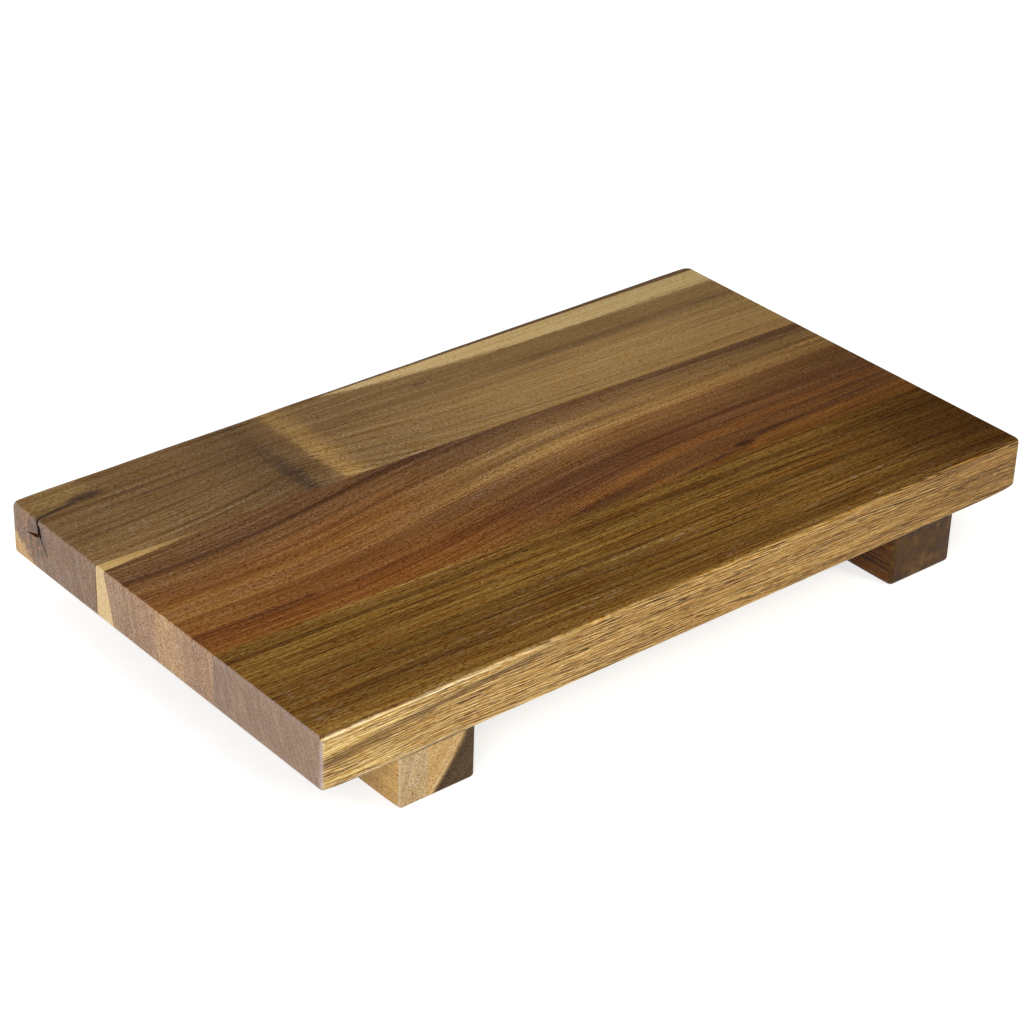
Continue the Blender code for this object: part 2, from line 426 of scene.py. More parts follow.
def stave(name, low_at, high_at, corners, top_bend=(0.0007, 0.0007)):
    """One stave of the board between two lines. corners gives the radius of its upright corners."""
    def sides_at(x):
        low = low_at(x) + (0.0 if "low" in corners else HAIRLINE)
        high = high_at(x) - (0.0 if "high" in corners else HAIRLINE)
        return {"low": low, "high": high, "bottom": BOARD_LOW.z, "top": BOARD_HIGH.z}
    radii = {**END_ROUNDS, **corners}
    bends = {"bottom": LONG_BEND, "top": top_bend}
    return planed_bar(name, "X", (BOARD_LOW.x, BOARD_HIGH.x), sides_at, radii, bends, (12, 6))


back_stave = stave("back_stave", back_seam, back_edge, {"high": 0.0028}, (0.0018, 0.0020))
middle_stave = stave("middle_stave", front_seam, back_seam, {})
front_stave = stave("front_stave", front_edge, front_seam, {"low": 0.0009}, (0.0018, 0.0008))

# %% [markdown]
# Each foot is a rail that runs from front to back, and its end grain faces the front. It is glued from
# two strips of unequal width. The lower and upright edges are rounded, on the right foot more than on the
# left, and the top stays square against the board. A strip is a planed bar too, in the place of its
# solid.

# %% Foot strips
GLUE_SHARE = 0.00014
END_EXTRA = 0.0001


def foot_strip(name, node, outside, bend=0.0012, upright=0.0006):
    """One strip of a foot. outside names its free side. bend rounds its lower edges, upright the others."""
    lowest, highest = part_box(node)
    low = lowest[0] - (0.0 if outside == "low" else GLUE_SHARE)
    high = highest[0] + (0.0 if outside == "high" else GLUE_SHARE)
    sides = {"low": low, "high": high, "bottom": lowest[2], "top": highest[2]}
    radii = {"bottom": bend + END_EXTRA, outside: upright}
    bends = {"bottom": (bend, bend)}
    return planed_bar(name, "Y", (lowest[1], highest[1]), lambda y: sides, radii, bends, (5, 5))


left_outer_strip = foot_strip("left_foot_outer_strip", "foot_left_outer", "low")
left_inner_strip = foot_strip("left_foot_inner_strip", "foot_left_inner", "high")
right_inner_strip = foot_strip("right_foot_inner_strip", "foot_right_inner", "low", 0.0016, 0.0018)
right_outer_strip = foot_strip("right_foot_outer_strip", "foot_right_outer", "high", 0.0016, 0.0010)

# %% [markdown]
# The feet are held by dowels, which stand in blind holes drilled up through the foot into the board. The
# holes are hidden, but a part that is taken to pieces should show them. A Boolean takes one shape out of
# another. It leaves clean edges when both shapes are closed, so each hole is a closed column.

# %% Dowel holes
HOLE_CLEARANCE = 0.0003
DOWELS = [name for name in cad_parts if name.startswith("dowel")]


def carve(piece, cutter):
    """Takes the cutter's shape out of a piece."""
    modifier = piece.modifiers.new("carve", "BOOLEAN")
    modifier.operation = "DIFFERENCE"
    modifier.solver = "EXACT"
    modifier.object = cutter
    whole = piece.data
    name = whole.name
    shapes = bpy.context.evaluated_depsgraph_get()
    piece.data = bpy.data.meshes.new_from_object(piece.evaluated_get(shapes))
    piece.modifiers.clear()
    bpy.data.meshes.remove(whole)
    piece.data.name = name


def drill_bits(sides=40):
    """All the holes as columns, each a little wider and longer than its dowel."""
    columns = bmesh.new()
    for node in DOWELS:
        low, high = (Vector(corner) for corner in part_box(node))
        middle = (low + high) / 2
        radius = (high.x - low.x) / 2 + HOLE_CLEARANCE
        rings = []
        for z in (low.z - HOLE_CLEARANCE, high.z + HOLE_CLEARANCE):
            ring = []
            for i in range(sides):
                turn = 2 * math.pi * i / sides
                x = middle.x + radius * math.cos(turn)
                y = middle.y + radius * math.sin(turn)
                ring.append(columns.verts.new((x, y, z)))
            rings.append(ring)
        skin(columns, rings)
    return closed_object("drill_bits", columns)


holes = drill_bits()
for piece in (back_stave, middle_stave, front_stave, left_inner_strip, right_inner_strip):
    carve(piece, holes)
bpy.data.objects.remove(holes)
print("drilled", len(DOWELS), "holes")

# %% [markdown]
# At the left end of the back stave a knot has dried out and split. The split runs down from the top edge,
# and a shorter one opens from it towards the back. A dark line painted on the end would look flat from
# the side, so both splits are cut into the wood with thin crooked blades. A blade starts just outside the
# end, where it is widest, and narrows as it goes in.

# %% Split knot
LONG_SPLIT = (
    (16.3, -0.6, 0.90), (16.7, 0.6, 1.20), (16.9, 1.5, 1.10), (17.4, 2.6, 1.80), (17.6, 3.6, 1.90),
    (18.0, 4.9, 2.20), (18.5, 6.0, 1.00), (19.3, 7.2, 0.70), (19.8, 8.0, 0.55), (20.7, 9.0, 0.65),
    (21.5, 10.4, 0.45), (22.6, 12.0, 0.10),
)
SHORT_SPLIT = (
    (9.0, 7.6, 0.10), (10.4, 7.2, 0.35), (11.6, 7.0, 0.55), (12.8, 6.5, 1.00), (14.2, 6.4, 1.40),
    (15.4, 6.0, 1.70), (16.8, 5.7, 1.50), (18.1, 4.9, 0.90),
)
BLADE_OUTSIDE = (-0.6, 1.1)
TIP_WIDTH = 0.25


def blade(name, points, depth):
    """A crooked blade for the left end. points gives places across and down, and the width there, in mm."""
    steel = bmesh.new()
    rings = []
    for i, (across, down, width) in enumerate(points):
        before = points[max(i - 1, 0)]
        after = points[min(i + 1, len(points) - 1)]
        run = Vector((after[0] - before[0], after[1] - before[1])).normalized()
        aside = Vector((-run.y, run.x)) * width / 2
        middle = Vector((across, down))
        inner = depth * (1.0 - 0.6 * abs(2 * i / (len(points) - 1) - 1))
        ring = []
        for inward, share in (BLADE_OUTSIDE, (inner, TIP_WIDTH)):
            for side in (1, -1):
                v, w = middle + aside * share * side
                x = BOARD_LOW.x + inward / 1000
                ring.append(steel.verts.new((x, BOARD_HIGH.y - v / 1000, BOARD_HIGH.z - w / 1000)))
        rings.append((ring[0], ring[1], ring[3], ring[2]))
    skin(steel, rings)
    return closed_object(name, steel)


for name, points, depth in (("long_blade", LONG_SPLIT, 3.5), ("short_blade", SHORT_SPLIT, 2.2)):
    cutter = blade(name, points, depth)
    carve(back_stave, cutter)
    bpy.data.objects.remove(cutter)
print("split knot cut,", len(back_stave.data.polygons), "faces")

# %% [markdown]
# A material here is a formula. Blender holds it as a net of nodes, but a net is long to write and hard to
# read, so a Wire stands for one value on its way through the net. Wires add, subtract and multiply like
# numbers, and each sign puts down one Math node.

# %% Wires
class Wire:
    """One value in a material. The signs + - * / between wires and numbers put down Math nodes."""

    def __init__(self, socket):
        self.socket = socket
        self.tree = socket.id_data

    def maths(self, operation, *others):
        made = new_node(self.tree, "Math", operation=operation)
        for value, slot in zip((self, *others), made.inputs):
            plug(value, slot)
        return Wire(made.outputs[0])

    def __add__(self, other):
        return self.maths("ADD", other)

    def __sub__(self, other):
        return self.maths("SUBTRACT", other)

    def __mul__(self, other):
        return self.maths("MULTIPLY", other)

    def __truediv__(self, other):
        return self.maths("DIVIDE", other)

    def __rsub__(self, other):
        return self.maths("MULTIPLY_ADD", -1.0, other)

    def __abs__(self):
        return self.maths("ABSOLUTE")

    def most(self, other):
        return self.maths("MAXIMUM", other)

    def least(self, other):
        return self.maths("MINIMUM", other)

    def squared(self):
        return self.maths("POWER", 2.0)

    __radd__ = __add__
    __rmul__ = __mul__


def plug(value, slot):
    """Joins a wire to a node's slot, or sets the slot to a number or colour."""
    if isinstance(value, Wire):
        slot.id_data.links.new(value.socket, slot)
    else:
        slot.default_value = value


print("wires ready")

# %% [markdown]
# A mark in wood starts somewhere, ends somewhere and has soft borders. A Color Ramp node could draw each
# border, but its stops are hard to read in a script. So all borders are made from one Map Range curve,
# which eases from 0 to 1 between two places given in millimetres. Two of them, one turned round, give a
# line or a stretch.

# %% Soft borders
def rise(x, low, high):
    """0 below low, 1 above high, and an easy curve between."""
    ranged = new_node(x.tree, "MapRange", interpolation_type="SMOOTHSTEP")
    plug(x, ranged.inputs["Value"])
    plug(low, ranged.inputs["From Min"])
    plug(high, ranged.inputs["From Max"])
    return Wire(ranged.outputs["Result"])


def fall(x, low, high):
    """1 below low and 0 above high."""
    return 1.0 - rise(x, low, high)


def line(x, middle, reach):
    """1 on the middle and 0 from reach away on."""
    return fall(abs(x - middle), 0.0, reach)


def between(x, low, high, soft):
    """1 from low to high, with both ends softened."""
    return rise(x, low - soft, low + soft) * fall(x, high - soft, high + soft)


print("borders ready")

# %% [markdown]
# The browns of this wood are close together, so they are written as a picture shows them, 0 to 255, where
# a small difference is easy to judge, and then turned into the amounts of light that Blender mixes. They
# meet in three ways: one is laid over another, one is made lighter or darker by stops, as in a darkroom,
# or many follow each other along a ramp.

# %% Colours
def tone(red, green, blue):
    """A colour as a picture shows it, 0 to 255, turned into the amounts of light that Blender mixes."""
    def light(part):
        part /= 255.0
        return part / 12.92 if part <= 0.04045 else ((part + 0.055) / 1.055) ** 2.4
    return (light(red), light(green), light(blue), 1.0)


def blend(first, second, share):
    """The first colour where share is 0 and the second where it is 1."""
    made = new_node(share.tree, "Mix", data_type="RGBA")
    plug(share, made.inputs["Factor"])
    plug(first, made.inputs[6])
    plug(second, made.inputs[7])
    return Wire(made.outputs[2])


def exposed(colour, stops, shares=(1.0, 1.0, 1.0)):
    """A colour made lighter by stops, or darker below 0. shares is how far red, green and blue follow."""
    join = new_node(stops.tree, "CombineXYZ")
    for slot, share in zip(join.inputs, shares):
        doubled = new_node(stops.tree, "Math", operation="POWER")
        doubled.inputs[0].default_value = 2.0
        plug(stops * share, doubled.inputs[1])
        plug(Wire(doubled.outputs[0]), slot)
    made = new_node(stops.tree, "VectorMath", operation="MULTIPLY")
    plug(colour if isinstance(colour, Wire) else colour[:3], made.inputs[0])
    plug(Wire(join.outputs[0]), made.inputs[1])
    return Wire(made.outputs[0])


def ramp(x, stops):
    """A colour for each place along x, from (place, colour) pairs."""
    low = stops[0][0]
    high = stops[-1][0]
    ranged = new_node(x.tree, "MapRange")
    plug(x, ranged.inputs["Value"])
    ranged.inputs["From Min"].default_value = low
    ranged.inputs["From Max"].default_value = high
    made = new_node(x.tree, "ValToRGB")
    plug(Wire(ranged.outputs["Result"]), made.inputs["Fac"])
    made.color_ramp.interpolation = "EASE"
    points = made.color_ramp.elements
    while len(points) < len(stops):
        points.new(0.5)
    for point, (place, colour) in zip(points, stops):
        point.position = (place - low) / (high - low)
        point.color = colour
    return Wire(made.outputs["Color"])


print("a middle grey is", round(tone(128, 128, 128)[0], 3), "of white's light")

# %% [markdown]
# Wood never repeats, so everything fine in it is noise. Plain noise has round blots. Drawn out along the
# grain, the blots become streaks. Taking the same streaks, moved a little aside, away from themselves
# leaves only their quick changes, which look like fibres.

# %% Noise along the grain
def streaks(u, p, q, length, width, detail=2.0, rough=0.5):
    """Noise drawn out along the grain: about 0.5, in patches of that length and width in millimetres."""
    join = new_node(u.tree, "CombineXYZ")
    plug(u / length, join.inputs[0])
    plug(p / width, join.inputs[1])
    plug(q / width, join.inputs[2])
    made = new_node(u.tree, "TexNoise")
    made.inputs["Scale"].default_value = 1.0
    made.inputs["Detail"].default_value = detail
    made.inputs["Roughness"].default_value = rough
    plug(Wire(join.outputs[0]), made.inputs["Vector"])
    return Wire(made.outputs["Fac"])


def swing(value, reach):
    """Noise about 0.5 stretched to run from -1 to 1 and no further."""
    ranged = new_node(value.tree, "MapRange")
    plug(value, ranged.inputs["Value"])
    ranged.inputs["From Min"].default_value = 0.5 - reach
    ranged.inputs["From Max"].default_value = 0.5 + reach
    ranged.inputs["To Min"].default_value = -1.0
    return Wire(ranged.outputs["Result"])


def crisp(u, p, q, length, width, step=0.6):
    """Thin lines about 0: streaks less the same streaks moved a step aside."""
    here = streaks(u, p, q / 4.0, length, width, 0.0)
    aside = streaks(u, p + step, q / 4.0, length, width, 0.0)
    return (here - aside) * 2.6


print("noise ready")

# %% [markdown]
# All the pieces are cut from the same kind of tree, so they share how the wood is built. Fibres run along
# the piece. Rings of growth show as bands that wander a little. Pores are short dark dashes on a long
# face and dots on an end. A Grain holds these layers for one piece, in millimetres along the grain (u),
# across it (v) and, on the board, down from the top (w). A picture of wood could be wrapped round each
# piece, but it would break at the edges, and layers in the solid run on round them.

# %% Grain shared by all pieces
HALF_LENGTH = 150.0
HALF_WIDTH = 85.5
BOARD_TOP = 39.3
HALF_FOOT = 84.5


class Grain:
    """Places in one piece of wood, and the layers that any piece has."""

    def __init__(self, name, along="X"):
        self.material = bpy.data.materials.new(name)
        self.material.use_nodes = True
        self.tree = self.material.node_tree
        self.shader = self.tree.nodes["Principled BSDF"]
        place = new_node(self.tree, "TexCoord")
        split = new_node(self.tree, "SeparateXYZ")
        self.tree.links.new(place.outputs["Object"], split.inputs[0])
        x, y, z = (Wire(out) * 1000.0 for out in split.outputs)
        geometry = new_node(self.tree, "NewGeometry")
        facing = new_node(self.tree, "SeparateXYZ")
        self.tree.links.new(geometry.outputs["Normal"], facing.inputs[0])
        if along == "X":
            self.u = x + HALF_LENGTH
            self.v = HALF_WIDTH - y
            self.w = BOARD_TOP - z
        elif along == "Y":
            self.u = y + HALF_FOOT
            self.v = x
            self.w = z
        else:
            self.u = z
            self.v = x
            self.w = y
        self.end = rise(abs(Wire(facing.outputs[along])), 0.25, 0.50)

    def weave(self, p, q, seed):
        """Lays out the layers along the straightened grain, p across it and q down into it."""
        u = self.u + seed * 317.0
        # Broad layers: how the bands wander, the bands, soft patches and thin rings.
        self.drift = (streaks(u, p, q, 95.0, 26.0, 1.0) - 0.5) * 2.4
        p = p + self.drift
        self.bands = swing(streaks(u, p, q / 6.0, 120.0, 2.4, 2.0, 0.6), 0.15)
        self.mottle = swing(streaks(u, p, q, 13.0, 3.5, 2.0, 0.6), 0.16)
        self.rings = swing(streaks(u, p + 30.0, q / 4.0, 160.0, 1.1, 1.0), 0.25)
        # Fine layers: long fibres, short hairs, the speckle of cut fibres, dark veins and pores.
        p = p - q * 0.6
        self.fibres = crisp(u, p, q, 40.0, 0.42)
        self.hairs = crisp(u, p + 90.0, q, 3.5, 0.40)
        ragged_u = u + self.fibres * 0.8
        ragged_p = p + self.hairs * 0.2
        self.speckle = swing(streaks(ragged_u, ragged_p, q, 1.0, 0.50, 1.0), 0.25)
        self.veins = rise(streaks(u, p + 55.0, q / 4.0, 42.0, 0.90, 1.0, 0.6), 0.56, 0.70)
        self.pores = rise(streaks(u, p, q, 15.0, 0.50, 0.0), 0.66, 0.74)

    def streak(self, p, left, right, reach, start, stop, soft=22.0):
        """A line of colour along the grain, at left on the u 0 end and right on the u 300 end."""
        middle = self.u * ((right - left) / (2 * HALF_LENGTH)) + left
        broken = 0.72 + self.mottle * 0.28
        return line(p + self.drift * 0.4, middle, reach) * between(self.u, start, stop, soft) * broken


print("grain ready")

# %% [markdown]
# Edges are handled and wiped more than flats, so they are polished and show less of the grain. They are
# also made a little lighter, partly for wear and partly as a painted highlight. An edge is where two sides
# meet: the product of being near one and being near the other finds it without looking at the mesh.

# %% Worn edges with painted highlight
def at_ends(x, low, high, reach):
    """1 at both ends of a length and 0 from reach inside them on."""
    return fall(x, low, low + reach).most(rise(x, high - reach, high))


def wear_and_painted_highlight(grain, u_ends, v_ends, w_ends, reach=1.8):
    """1 along the edges of a block, where hands and cloths polish it and a painted highlight lightens it,
    and 0 on its flats.
    """
    along = at_ends(grain.u, *u_ends, reach)
    across = at_ends(grain.v, *v_ends, reach)
    upright = at_ends(grain.w, *w_ends, reach)
    return (along * across).most(across * upright).most(upright * along * 0.4)


print("edges ready")

# %% [markdown]
# The finish is oil, rubbed in and wiped off. It leaves a satin face and makes the grain stand out. The
# grain is laid on in stops, so that a mark darkens pale and dark wood alike. Bands change all three
# colours much the same. Fine marks take away blue most and red least, which keeps dark pores warm. Only
# the darker part of the fine layers counts, so that dark marks lie on an even ground.

# %% Oil
BAND_SHARES = (0.84, 1.06, 1.10)
FINE_SHARES = (0.50, 0.84, 1.75)


def sunken(layer):
    """Only the darker part of a layer."""
    return (layer + 0.25).least(0.0)


def oil(grain, colour, edge, depth=1.0, gloss=0.36, lift=0.35, lines=0.50, shine=0.9):
    """Finishes a wood: its fine grain over its figure, then bump, roughness and shader.

    depth is the strength of the grain, and lines how much of it is lines and not dots. lift lightens the
    edges by that many stops, partly for wear and partly as a painted highlight, and shine is their polish.
    """
    calm = depth * (1.0 - edge * 0.6)
    broad = (grain.bands * 0.30 + grain.rings * 0.27 - grain.veins * 0.22) * (lines * 0.6 + 0.7)
    colour = exposed(colour, broad * calm * (1.0 - grain.end * 0.45), BAND_SHARES)
    drawn = (sunken(grain.fibres) + sunken(grain.hairs)) * 2.6 - grain.pores * 0.5 + 0.42
    dots = grain.speckle * 0.5 + sunken(grain.speckle) * 1.6 + 0.12
    fine = drawn * (1.0 - grain.end * 0.8) * lines + dots * (1.9 - lines * 1.1) * (grain.mottle * 0.3 + 1.0)
    # edge * lift lightens the edges, partly for wear and partly as a painted highlight
    stops = fine * calm + edge * lift
    height = (grain.fibres * 0.1 + grain.hairs * 0.1 - grain.pores) * (1.0 - edge * 0.8)
    bump = new_node(grain.tree, "Bump")
    bump.inputs["Strength"].default_value = 0.25
    bump.inputs["Distance"].default_value = 0.00012
    plug(height, bump.inputs["Height"])
    plug(exposed(colour, stops, FINE_SHARES), grain.shader.inputs["Base Color"])
    rough = grain.mottle * 0.04 + grain.pores * 0.1 - edge * 0.26 + gloss
    plug(rough, grain.shader.inputs["Roughness"])
    plug(Wire(bump.outputs["Normal"]), grain.shader.inputs["Normal"])
    grain.shader.inputs["Specular IOR Level"].default_value = 0.10
    grain.shader.inputs["Coat Roughness"].default_value = 0.14
    plug(edge * shine, grain.shader.inputs["Coat Weight"])
    return grain.material


print("oil ready")

# %% [markdown]
# The front stave is plain and straight: golden olive brown with long dark streaks that run with the seam.
# It grows darker and redder towards the right end. Each streak is placed one by one, by how far it lies from
# the seam at the left and at the right, because the eye finds a wrong streak sooner than a wrong fibre.

# %% Figure of the front stave
OLIVE = tone(103, 71, 26)
DEEP_OLIVE = tone(67, 41, 14)
OLD_GOLD = tone(133, 96, 38)
BURNT_EDGE = tone(62, 35, 7)
OFF_LEFT = -60.0
OFF_RIGHT = 360.0
FRONT_STREAKS = (
    (5.6, 9.7, 2.0, OFF_LEFT, OFF_RIGHT, 0.80),
    (10.6, 15.4, 1.1, 40.0, OFF_RIGHT, 0.60),
    (20.6, 21.0, 0.9, 110.0, 330.0, 0.55),
    (29.8, 35.6, 1.2, OFF_LEFT, 190.0, 0.90),
    (38.6, 50.0, 0.9, OFF_LEFT, 75.0, 0.75),
    (25.0, 27.5, 0.8, 20.0, 140.0, 0.45),
    (40.0, 41.0, 2.4, 115.0, 330.0, 0.60),
    (30.0, 30.5, 3.0, 190.0, OFF_RIGHT, 0.55),
    (46.0, 46.8, 0.9, 10.0, 95.0, 0.50),
    (53.8, 46.8, 0.8, OFF_LEFT, 60.0, 0.70),
)


def streaked(grain, colour, tint, p, rows, soft=22.0):
    """Streaks of one tint over a colour. A row is left, right, reach, start, stop and the tint's share."""
    for left, right, reach, start, stop, share in rows:
        colour = blend(colour, tint, grain.streak(p, left, right, reach, start, stop, soft) * share)
    return colour


def front_figure(grain, s):
    """Colours of the front stave, s millimetres from its seam."""
    colour = blend(OLIVE, OLD_GOLD, between(s, 8.0, 22.0, 4.0) * fall(grain.u, 90.0, 190.0) * 0.36)
    colour = blend(colour, OLD_GOLD, rise(s, 43.0, 50.0) * fall(grain.u, 60.0, 180.0) * 0.45)
    by_seam = fall(s, 2.0, 6.0) * between(grain.u, 50.0, 130.0, 30.0)
    colour = blend(colour, tone(126, 89, 40), by_seam * 0.6)
    colour = streaked(grain, colour, DEEP_OLIVE, s, FRONT_STREAKS)
    glints = rise(streaks(grain.u, s, grain.w, 4.0, 0.5, 0.0), 0.62, 0.72) * rise(s, 16.0, 30.0)
    glints = glints * rise(streaks(grain.u, s + 40.0, grain.w, 40.0, 9.0, 1.0), 0.50, 0.62)
    colour = blend(colour, tone(142, 112, 88), glints * 0.5)
    warm = swing(streaks(grain.u, s, grain.w, 70.0, 4.0, 2.0), 0.14)
    colour = blend(colour, tone(112, 68, 22), rise(warm, 0.1, 1.0) * 0.4)
    return blend(colour, BURNT_EDGE, rise(grain.u + grain.bands * 9.0, 225.0, 300.0) * 0.85)


print("front stave has", len(FRONT_STREAKS), "streaks")

# %% [markdown]
# The front edge is cut across the rings at another angle. It is painted paler than the top as painted
# light from the front: honey at the left, where that light is strongest, and browner to the right, where it
# falls off. Its pores are dark dashes, long and short, that lean a little to the edge, with light threads of
# fibre between them. A brown scar climbs from the left end to the top. A second material on this face would
# be simple, but it would end in a hard line. So these colours are laid over the stave's own, and fade in
# where the edge turns down.

# %% Front edge
PAINTED_LIGHT_HONEY = (
    (0.0, tone(187, 154, 95)), (60.0, tone(190, 156, 97)),
    (150.0, tone(169, 133, 77)), (300.0, tone(142, 107, 57)),
)
DASHES = ((0.0, tone(60, 36, 16)), (300.0, tone(38, 22, 9)))


def honey_edge(grain, s, colour, face):
    """Colours of the front edge, with painted light that is brightest at the left, laid over the stave's
    where face is 1.
    """
    colour = blend(colour, ramp(grain.u, PAINTED_LIGHT_HONEY), face * 0.92)
    # A painted light patch, golden, under the lit edge at the left of the front edge
    painted_light_patch = fall(grain.u, 15.0, 50.0) * fall(grain.w, 3.0, 7.5) * face
    colour = blend(colour, tone(208, 175, 112), painted_light_patch * 0.5)
    lean = grain.w - (grain.u - 50.0).most(0.0) * 0.035
    dashes = crisp(grain.u, lean, s, 7.0, 0.28, 0.40)
    threads = crisp(grain.u, lean + 60.0, s, 22.0, 0.32, 0.42)
    slots = rise(dashes, 0.25, 0.46).most(rise(threads, 0.25, 0.46))
    slots = slots * (rise(streaks(grain.u, lean + 20.0, s, 34.0, 3.0, 2.0), 0.38, 0.60) * 0.45 + 0.55)
    silk = fall(threads, -0.55, -0.20).most(fall(dashes, -0.60, -0.25))
    colour = exposed(colour, (silk * 0.38 - 0.17) * face)
    colour = blend(colour, ramp(grain.u, DASHES), slots * face * (grain.mottle * 0.15 + 0.85))
    scar = grain.w - 9.6 + grain.u * 0.1 - grain.u * grain.u * 0.0002 + grain.rings * 0.4
    scar = line(scar, 0.0, fall(grain.u, 0.0, 60.0) * 1.7 + 1.9) * face * rise(grain.w, 0.6, 1.8)
    return blend(colour, tone(78, 53, 28), scar * (grain.fibres * 0.35 + 0.60) * fall(grain.u, 70.0, 125.0))


print("front edge ready")

# %% [markdown]
# Together they make the wood of the front stave. Its left end is end grain, dull and pinkish. Its edge is
# most polished at the left, and a painted highlight makes it palest there. One polish all along would be
# simpler, but it would look varnished, so both the painted highlight and the polish fade towards the right.

# %% Front stave
FRONT_SEAM_LEFT = 116.2
BOARD_THICKNESS = 19.5
BOARD_ENDS = ((0.0, 2 * HALF_LENGTH), (0.0, 2 * HALF_WIDTH), (0.0, BOARD_THICKNESS))


def front_wood():
    """Wood of the front stave."""
    grain = Grain("front_stave_wood")
    s = grain.v - FRONT_SEAM_LEFT - grain.u * FRONT_SEAM_SLOPE
    grain.weave(s - grain.w * 0.5, grain.w, 3.0)
    colour = front_figure(grain, s)
    face = rise(grain.v, 169.9, 170.7)
    colour = honey_edge(grain, s, colour, face)
    colour = blend(colour, tone(146, 121, 102), grain.end * 0.85)
    # A painted highlight along the front edge, strongest at the left
    bright = fall(grain.u, 20.0, 105.0) * 0.47 + 0.11
    polish = fall(grain.u, 40.0, 105.0) * 0.78 + 0.10
    depth = 1.3 - face * 0.65 - grain.end * 0.4
    return oil(grain, colour, wear_and_painted_highlight(grain, *BOARD_ENDS), depth, lift=bright, lines=0.95, shine=polish)


def oiled(piece, wood):
    """Gives a piece its wood."""
    piece.data.materials.append(wood)
    print(piece.name, "oiled,", len(wood.node_tree.nodes), "nodes")


oiled(front_stave, front_wood())

# %% [markdown]
# The middle stave is the reddest. Its bands start along the left part of the back seam and swing across
# the stave by almost two centimetres on their way to the right, as they do beside a branch. Bending each
# streak by hand would be endless. So the figure is drawn on straight bands, and the swing is taken out of
# each place before its band is looked up.

# %% Swinging bands
SWING = 19.0
BACK_SEAM_LEFT = 50.9


def past_back_seam(grain):
    """How far a place lies in front of the seam between back and middle stave."""
    return grain.v - BACK_SEAM_LEFT - grain.u * BACK_SEAM_SLOPE


def straightened(u, s):
    """The band that a place in the middle stave belongs to."""
    band = s + SWING / 2
    for _ in range(2):
        turn = 83.75 + band * 0.75
        band = s + rise(u, turn - 80.0, turn + 80.0) * SWING
    return band


print("bands swing by", SWING, "mm")

# %% [markdown]
# A band keeps its place but not its colour: at the left it is redder, and at the right browner and
# duller. One ramp of colours with a tint over it would be shorter, but each band changes in its own way.
# So there are two ramps, one for each end, and one fades into the other.

# %% Bands of the middle stave
LEFT_BANDS = (
    (3.0, tone(106, 73, 42)), (12.5, tone(106, 73, 42)), (15.2, tone(86, 56, 32)),
    (17.0, tone(103, 69, 37)), (22.0, tone(123, 85, 46)), (25.5, tone(114, 73, 37)),
    (31.0, tone(120, 77, 36)), (35.0, tone(134, 89, 41)), (38.5, tone(120, 79, 40)),
    (42.0, tone(134, 91, 44)), (46.0, tone(120, 77, 35)), (51.0, tone(118, 75, 33)),
    (52.8, tone(119, 74, 34)), (54.4, tone(103, 60, 26)), (56.5, tone(108, 63, 26)),
    (62.0, tone(118, 70, 28)), (68.0, tone(126, 82, 33)),
)
RIGHT_BANDS = (
    (18.0, tone(98, 68, 42)), (21.0, tone(108, 77, 48)), (26.0, tone(118, 86, 52)),
    (29.0, tone(124, 92, 54)), (32.0, tone(141, 106, 61)), (35.3, tone(124, 92, 53)),
    (38.5, tone(141, 106, 59)), (41.5, tone(149, 109, 61)), (44.5, tone(123, 85, 47)),
    (48.0, tone(114, 78, 42)), (51.0, tone(113, 77, 41)), (54.0, tone(104, 68, 37)),
    (58.0, tone(98, 62, 34)), (63.0, tone(98, 62, 33)), (67.0, tone(106, 67, 34)),
    (72.0, tone(100, 64, 32)), (75.5, tone(96, 61, 30)), (78.5, tone(110, 71, 31)),
    (81.5, tone(107, 67, 27)),
)


def middle_bands(grain, wander):
    """Colours of the middle stave's bands."""
    left = ramp(wander, LEFT_BANDS)
    right = ramp(wander, RIGHT_BANDS)
    dim = fall(grain.u, 115.0, 170.0) * 0.35 + rise(grain.u, 205.0, 270.0) * 0.33
    dim = dim * fall(wander, 50.0, 62.0) + rise(grain.u, 240.0, 300.0) * 0.35
    right = exposed(right, dim * -1.0)
    colour = blend(left, right, rise(grain.u, 75.0, 165.0))
    murk = between(grain.u, 95.0, 150.0, 28.0) * between(wander, 42.0, 48.0, 2.0)
    colour = blend(colour, tone(92, 63, 42), murk * 0.5)
    heart = between(grain.u, 135.0, 200.0, 24.0) * between(wander, 54.0, 66.0, 3.0)
    return blend(colour, tone(94, 59, 34), heart * 0.6)


print("middle stave has", len(LEFT_BANDS), "bands at the left and", len(RIGHT_BANDS), "at the right")

# %% [markdown]
# Over the bands lie single streaks: plum and oxblood where the rings are dense, orange and gold where
# they are open. Noise could scatter them, but these few give the stave its look, so each has its own
# place. They are placed on the straight bands and so follow the swing too.

# %% Streaks of the middle stave
PLUM = tone(70, 43, 27)
ORANGE = tone(130, 82, 35)
OXBLOOD = tone(77, 42, 20)
PLUM_STREAKS = (
    (66.3, 80.9, 2.6, 140.0, 174.0, 0.75),
    (79.6, 79.6, 2.0, 186.0, 216.0, 0.95),
    (108.2, 66.5, 2.2, 210.0, 240.0, 0.95),
    (86.4, 72.9, 1.5, 234.0, OFF_RIGHT, 0.85),
    (57.3, 57.3, 1.2, 215.0, OFF_RIGHT, 0.85),
    (63.3, 62.9, 1.2, 225.0, OFF_RIGHT, 0.70),
    (69.8, 69.2, 1.3, 242.0, OFF_RIGHT, 0.70),
    (70.8, 70.8, 1.4, 205.0, 238.0, 0.55),
    (95.2, 80.5, 0.8, 255.0, OFF_RIGHT, 0.65),
)
ORANGE_STREAKS = (
    (66.4, 65.9, 1.4, 240.0, OFF_RIGHT, 0.50),
    (72.8, 72.6, 1.2, 240.0, OFF_RIGHT, 0.40),
    (79.5, 78.0, 1.6, 245.0, OFF_RIGHT, 0.60),
)


